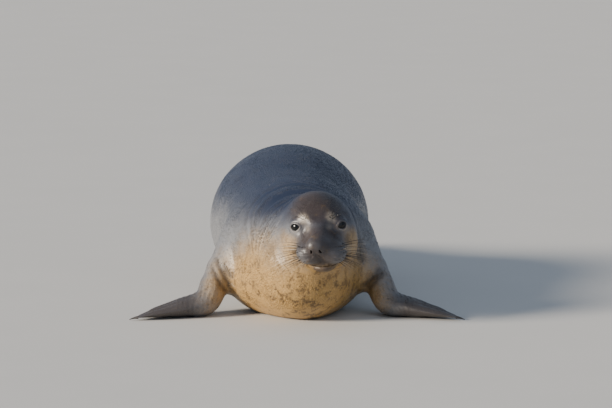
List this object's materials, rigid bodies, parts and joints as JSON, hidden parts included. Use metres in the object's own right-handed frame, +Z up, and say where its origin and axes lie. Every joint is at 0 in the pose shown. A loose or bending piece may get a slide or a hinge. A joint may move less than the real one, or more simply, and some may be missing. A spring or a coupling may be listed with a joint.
{
  "type": "northern elephant seal model",
  "caption": "Life-size still model of a young northern elephant seal lying on its belly, head raised, fore flippers spread.",
  "frame": {"origin": "on the ground under the chest, level with the shoulders", "axes": "+Z up, -Y the way the seal faces, +X towards its own left side"},
  "size_m": [0.9358, 1.8563, 0.424],
  "materials": {
    "skin_back": "short wet fur, dark blue-grey, satin",
    "skin_flank": "short wet fur, silver-grey, satin",
    "skin_throat": "short fur, cream to golden with darker mottling, satin",
    "skin_head": "short wet fur, dark brown-grey, satin",
    "skin_flipper": "short fur and bare skin, grey-brown, satin",
    "eye": "wet, nearly black",
    "claw": "dark horn"
  },
  "bodies": {
    "root": {"chest": "skin_throat", "eye_left": "eye", "eye_right": "eye", "fore_flipper_left": "skin_flipper", "fore_flipper_left_claw_1": "claw", "fore_flipper_left_claw_2": "claw", "fore_flipper_left_claw_3": "claw", "fore_flipper_left_claw_4": "claw", "fore_flipper_left_claw_5": "claw", "fore_flipper_right": "skin_flipper", "fore_flipper_right_claw_1": "claw", "fore_flipper_right_claw_2": "claw", "fore_flipper_right_claw_3": "claw", "fore_flipper_right_claw_4": "claw", "fore_flipper_right_claw_5": "claw", "head": "skin_head", "hind_flipper_left": "skin_flipper", "hind_flipper_right": "skin_flipper", "hips": "skin_back", "loins": "skin_back", "lower_jaw": "skin_throat", "muzzle": "skin_head", "neck": "skin_throat", "tail": "skin_back", "torso": "skin_flank"}
  },
  "joints": []
}
